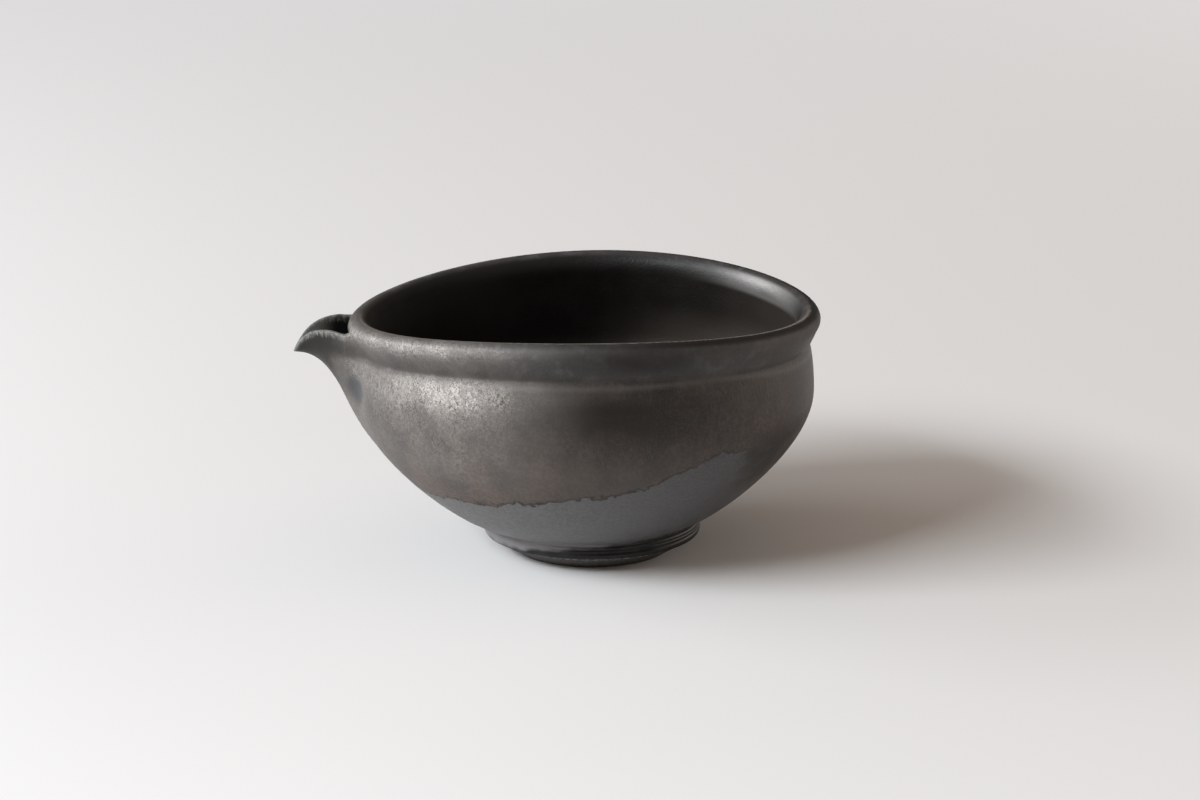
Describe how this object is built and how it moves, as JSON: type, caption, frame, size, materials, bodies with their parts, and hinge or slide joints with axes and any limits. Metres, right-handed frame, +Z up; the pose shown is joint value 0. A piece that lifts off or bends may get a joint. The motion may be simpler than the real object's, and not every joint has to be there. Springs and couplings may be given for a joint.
{
  "type": "katakuchi sake pourer",
  "caption": "Oval stoneware pouring bowl with a rolled rim, a beak spout over a pour hole and a turned foot ring, for serving sake.",
  "frame": {"origin": "middle of the overall length and width, on the surface that the foot stands on", "axes": "+Z up, spout towards -X, +Y across the bowl"},
  "size_m": [0.1498, 0.1234, 0.074],
  "materials": {
    "bronze_glaze": "satin black-bronze iron glaze",
    "foot_clay": "thin dark glaze over turned clay, bare underneath",
    "slip_clay": "matt fired slip"
  },
  "bodies": {
    "root": {"bowl_body": "bronze_glaze", "rim_collar": "bronze_glaze", "spout": "bronze_glaze", "foot_ring": "foot_clay", "spout_slip": "slip_clay", "collar_slip": "slip_clay", "foot_slip": "slip_clay"}
  },
  "joints": []
}
